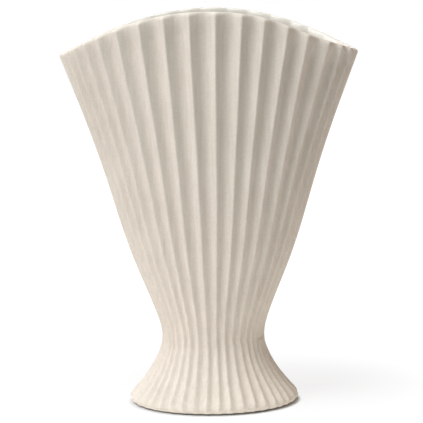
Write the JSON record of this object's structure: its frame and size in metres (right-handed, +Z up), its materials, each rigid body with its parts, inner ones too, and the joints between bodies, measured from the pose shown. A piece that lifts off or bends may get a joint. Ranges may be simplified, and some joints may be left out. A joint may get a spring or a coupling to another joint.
{
  "type": "fan vase",
  "caption": "Fluted ceramic fan vase with a flattened flaring bowl, arched rim, narrow waist and flared oval foot, glazed inside to hold water and cut stems.",
  "frame": {"origin": "on the table, below the middle of the foot", "axes": "+Z up, +X along the width of the fan, front towards -Y"},
  "size_m": [0.223, 0.107, 0.3],
  "materials": {
    "bare_clay": "matt, fine grained, unglazed",
    "slip_clay": "matt, sponged",
    "white_glaze": "glossy glaze",
    "pad_felt": "pressed felt"
  },
  "bodies": {
    "root": {"fan_bowl": "bare_clay", "pedestal_foot": "bare_clay", "waist_slip_joint": "slip_clay", "base_slab": "bare_clay", "base_slip_joint": "slip_clay", "inner_glaze": "white_glaze", "foot_pads": "pad_felt"}
  },
  "joints": []
}
